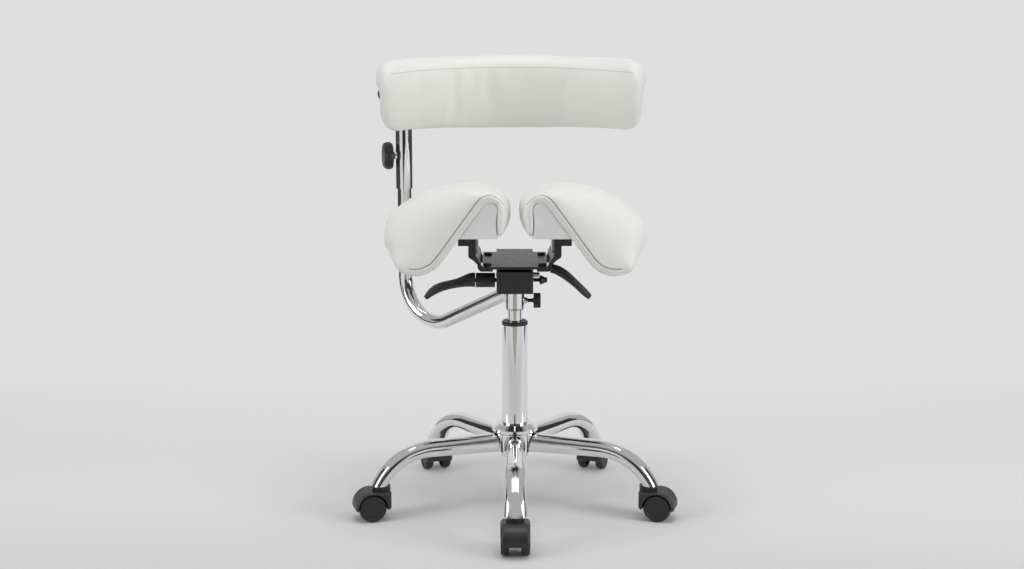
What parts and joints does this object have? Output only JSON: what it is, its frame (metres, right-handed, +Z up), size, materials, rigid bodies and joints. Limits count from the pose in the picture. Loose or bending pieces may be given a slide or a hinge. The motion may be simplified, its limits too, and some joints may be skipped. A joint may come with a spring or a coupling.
{
  "type": "ergonomic stool",
  "caption": "Split-saddle work stool with two padded leather halves, a swing-round curved backrest, lift and tilt levers, and a chrome star base on twin-wheel casters.",
  "frame": {"origin": "on the floor, on the axis of the column", "axes": "+Z up along the column; the front arm of the base points along -Y, which is the way the seated person looks; +X is on their left"},
  "size_m": [0.626, 0.642, 0.8572],
  "materials": {
    "chrome": "bright chrome plate",
    "steel": "ground steel",
    "zinc": "bright zinc plate",
    "black_paint": "semi-gloss black powder coat",
    "black_plastic": "fine matt black moulding",
    "grey_plastic": "plain light grey moulding",
    "white_leather": "smooth off-white leather",
    "wheel_black": "satin black wheel moulding"
  },
  "bodies": {
    "base": {"hub": "chrome", "arm_front": "chrome", "arm_right": "chrome", "arm_rear_right": "chrome", "arm_rear_left": "chrome", "arm_left": "chrome", "stem_sockets": "steel", "column_tube": "chrome", "guide_bushing": "black_plastic", "thrust_bearing": "steel"},
    "column": {"piston_rod": "steel"},
    "lift": {"gas_cylinder": "chrome", "stop_ring": "steel", "mechanism_housing": "black_paint", "pivot_pin": "steel"},
    "valve": {"valve_pin": "steel"},
    "height_lever_body": {"height_lever": "black_plastic"},
    "tension_body": {"tension_screw": "black_plastic"},
    "tilt": {"seat_plate": "black_paint", "plate_bolts": "black_paint", "seat_bracket_left": "black_paint", "seat_bracket_right": "black_paint", "seat_straps": "zinc", "seat_core_left": "grey_plastic", "seat_core_right": "grey_plastic", "seat_board_left": "white_leather", "seat_board_right": "white_leather", "seat_cushion_left": "white_leather", "seat_cushion_right": "white_leather"},
    "tilt_lock_body": {"tilt_lock_lever": "black_plastic"},
    "arm_swing_body": {"arm_collar": "chrome", "backrest_arm": "chrome"},
    "thumb_screw_body": {"collar_thumb_screw": "black_plastic"},
    "back": {"back_sleeve": "chrome", "sleeve_liner": "black_plastic", "back_rail": "chrome", "rail_caps": "black_plastic", "back_cushion": "white_leather"},
    "star_knob_body": {"star_knob": "black_plastic"},
    "caster_front": {"caster_front_housing": "black_plastic", "caster_front_pins": "steel"},
    "caster_front_a": {"caster_front_wheel_a": "wheel_black"},
    "caster_front_b": {"caster_front_wheel_b": "wheel_black"},
    "caster_right": {"caster_right_housing": "black_plastic", "caster_right_pins": "steel"},
    "caster_right_a": {"caster_right_wheel_a": "wheel_black"},
    "caster_right_b": {"caster_right_wheel_b": "wheel_black"},
    "caster_rear_right": {"caster_rear_right_housing": "black_plastic", "caster_rear_right_pins": "steel"},
    "caster_rear_right_a": {"caster_rear_right_wheel_a": "wheel_black"},
    "caster_rear_right_b": {"caster_rear_right_wheel_b": "wheel_black"},
    "caster_rear_left": {"caster_rear_left_housing": "black_plastic", "caster_rear_left_pins": "steel"},
    "caster_rear_left_a": {"caster_rear_left_wheel_a": "wheel_black"},
    "caster_rear_left_b": {"caster_rear_left_wheel_b": "wheel_black"},
    "caster_left": {"caster_left_housing": "black_plastic", "caster_left_pins": "steel"},
    "caster_left_a": {"caster_left_wheel_a": "wheel_black"},
    "caster_left_b": {"caster_left_wheel_b": "wheel_black"}
  },
  "joints": [
    {"name": "column_swivel", "type": "hinge", "parent": "base", "child": "column", "pos_m": [0, 0, 0.107], "axis": [0, 0, 1], "continuous": true},
    {"name": "seat_lift", "type": "slide", "parent": "column", "child": "lift", "axis": [0, 0, 1], "range_m": [-0.012, 0.12]},
    {"name": "height_lever", "type": "hinge", "parent": "lift", "child": "height_lever_body", "pos_m": [-0.0295, 0, 0.45], "axis": [0, 1, 0], "range_deg": [0, 5], "stiffness_Nm_per_rad": 1.2, "springref_deg": -8.02},
    {"name": "valve_press", "type": "slide", "parent": "lift", "child": "valve", "axis": [0, 0, 1], "range_m": [-0.0034, 0]},
    {"name": "tilt_tension", "type": "hinge", "parent": "lift", "child": "tension_body", "pos_m": [0.05, 0.01, 0.448], "axis": [1, 0, 0], "range_deg": [-720, 720]},
    {"name": "seat_tilt", "type": "hinge", "parent": "lift", "child": "tilt", "pos_m": [0, -0.02, 0.464], "axis": [1, 0, 0], "range_deg": [-6, 10]},
    {"name": "tilt_lock", "type": "hinge", "parent": "tilt", "child": "tilt_lock_body", "pos_m": [0.05, 0.015, 0.4695], "axis": [0, 1, 0], "range_deg": [-5, 0]},
    {"name": "backrest_swing", "type": "hinge", "parent": "lift", "child": "arm_swing_body", "pos_m": [0, 0, 0.41], "axis": [0, 0, 1], "continuous": true},
    {"name": "collar_clamp", "type": "hinge", "parent": "arm_swing_body", "child": "thumb_screw_body", "pos_m": [0.04, 0, 0.41], "axis": [1, 0, 0], "range_deg": [-360, 0]},
    {"name": "back_height", "type": "slide", "parent": "arm_swing_body", "child": "back", "axis": [0, 0, 1], "range_m": [-0.03, 0.07]},
    {"name": "back_height_clamp", "type": "hinge", "parent": "back", "child": "star_knob_body", "pos_m": [-0.2501, 0.19393, 0.664], "axis": [-0.9781, -0.2079, 0], "range_deg": [-360, 0]},
    {"name": "caster_front_swivel", "type": "hinge", "parent": "base", "child": "caster_front", "pos_m": [0, -0.269, 0.07], "axis": [0, 0, 1], "continuous": true},
    {"name": "caster_front_roll_a", "type": "hinge", "parent": "caster_front", "child": "caster_front_a", "pos_m": [0, -0.29, 0.027], "axis": [1, 0, 0], "continuous": true},
    {"name": "caster_front_roll_b", "type": "hinge", "parent": "caster_front", "child": "caster_front_b", "pos_m": [0, -0.29, 0.027], "axis": [1, 0, 0], "continuous": true},
    {"name": "caster_right_swivel", "type": "hinge", "parent": "base", "child": "caster_right", "pos_m": [0.25583, -0.08313, 0.07], "axis": [0, 0, 1], "continuous": true},
    {"name": "caster_right_roll_a", "type": "hinge", "parent": "caster_right", "child": "caster_right_a", "pos_m": [0.27612, -0.08856, 0.027], "axis": [0.2588, 0.9659, 0], "continuous": true},
    {"name": "caster_right_roll_b", "type": "hinge", "parent": "caster_right", "child": "caster_right_b", "pos_m": [0.27612, -0.08856, 0.027], "axis": [0.2588, 0.9659, 0], "continuous": true},
    {"name": "caster_rear_right_swivel", "type": "hinge", "parent": "base", "child": "caster_rear_right", "pos_m": [0.15811, 0.21763, 0.07], "axis": [0, 0, 1], "continuous": true},
    {"name": "caster_rear_right_roll_a", "type": "hinge", "parent": "caster_rear_right", "child": "caster_rear_right_a", "pos_m": [0.1646, 0.2376, 0.027], "axis": [-0.9511, 0.309, 0], "continuous": true},
    {"name": "caster_rear_right_roll_b", "type": "hinge", "parent": "caster_rear_right", "child": "caster_rear_right_b", "pos_m": [0.1646, 0.2376, 0.027], "axis": [-0.9511, 0.309, 0], "continuous": true},
    {"name": "caster_rear_left_swivel", "type": "hinge", "parent": "base", "child": "caster_rear_left", "pos_m": [-0.15811, 0.21763, 0.07], "axis": [0, 0, 1], "continuous": true},
    {"name": "caster_rear_left_roll_a", "type": "hinge", "parent": "caster_rear_left", "child": "caster_rear_left_a", "pos_m": [-0.1646, 0.2376, 0.027], "axis": [-0.9511, -0.309, 0], "continuous": true},
    {"name": "caster_rear_left_roll_b", "type": "hinge", "parent": "caster_rear_left", "child": "caster_rear_left_b", "pos_m": [-0.1646, 0.2376, 0.027], "axis": [-0.9511, -0.309, 0], "continuous": true},
    {"name": "caster_left_swivel", "type": "hinge", "parent": "base", "child": "caster_left", "pos_m": [-0.25583, -0.08313, 0.07], "axis": [0, 0, 1], "continuous": true},
    {"name": "caster_left_roll_a", "type": "hinge", "parent": "caster_left", "child": "caster_left_a", "pos_m": [-0.27612, -0.08856, 0.027], "axis": [0.2588, -0.9659, 0], "continuous": true},
    {"name": "caster_left_roll_b", "type": "hinge", "parent": "caster_left", "child": "caster_left_b", "pos_m": [-0.27612, -0.08856, 0.027], "axis": [0.2588, -0.9659, 0], "continuous": true}
  ],
  "couplings": [
    {"joint": "valve_press", "follows": "height_lever", "m_per_rad": -0.036}
  ]
}
